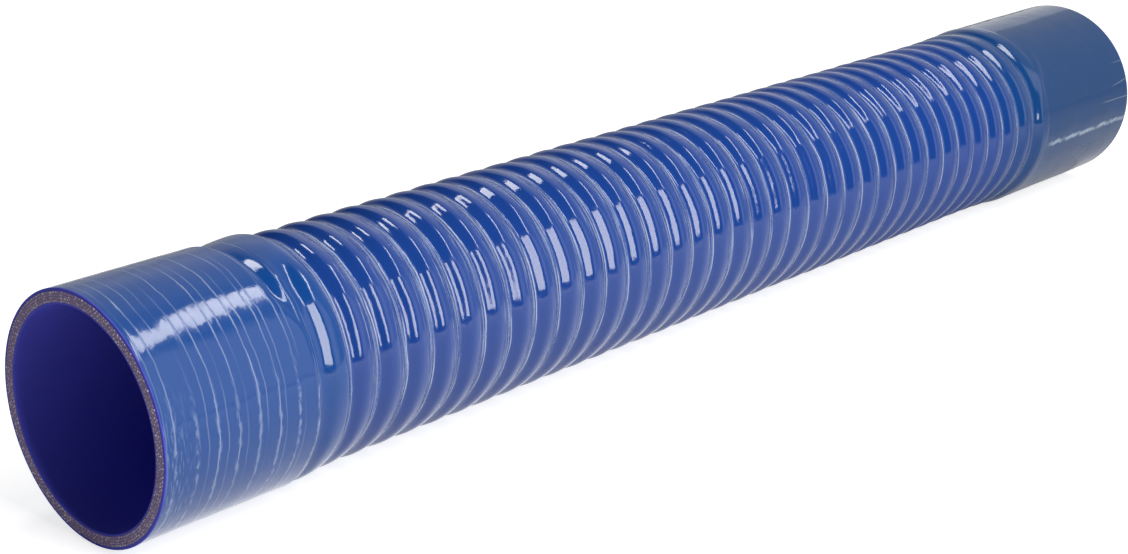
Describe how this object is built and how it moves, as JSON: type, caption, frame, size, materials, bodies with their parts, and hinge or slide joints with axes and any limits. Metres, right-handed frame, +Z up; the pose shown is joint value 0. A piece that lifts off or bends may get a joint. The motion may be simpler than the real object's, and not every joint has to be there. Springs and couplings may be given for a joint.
{
  "type": "silicone hose",
  "caption": "Straight silicone hose with a smooth bore, a wire helix that shows as ridges along the middle, and a plain thicker cuff at each end.",
  "frame": {"origin": "on the floor, under the middle of the hose's length and of its width", "axes": "+X along the hose from the near end to the far end, +Z up, with the hose lying on its side"},
  "size_m": [0.555, 0.08, 0.0796],
  "materials": {
    "blue_silicone": "glossy silicone rubber, frosted in the grooves between the wire ridges"
  },
  "bodies": {
    "root": {"hose": "blue_silicone"}
  },
  "joints": []
}
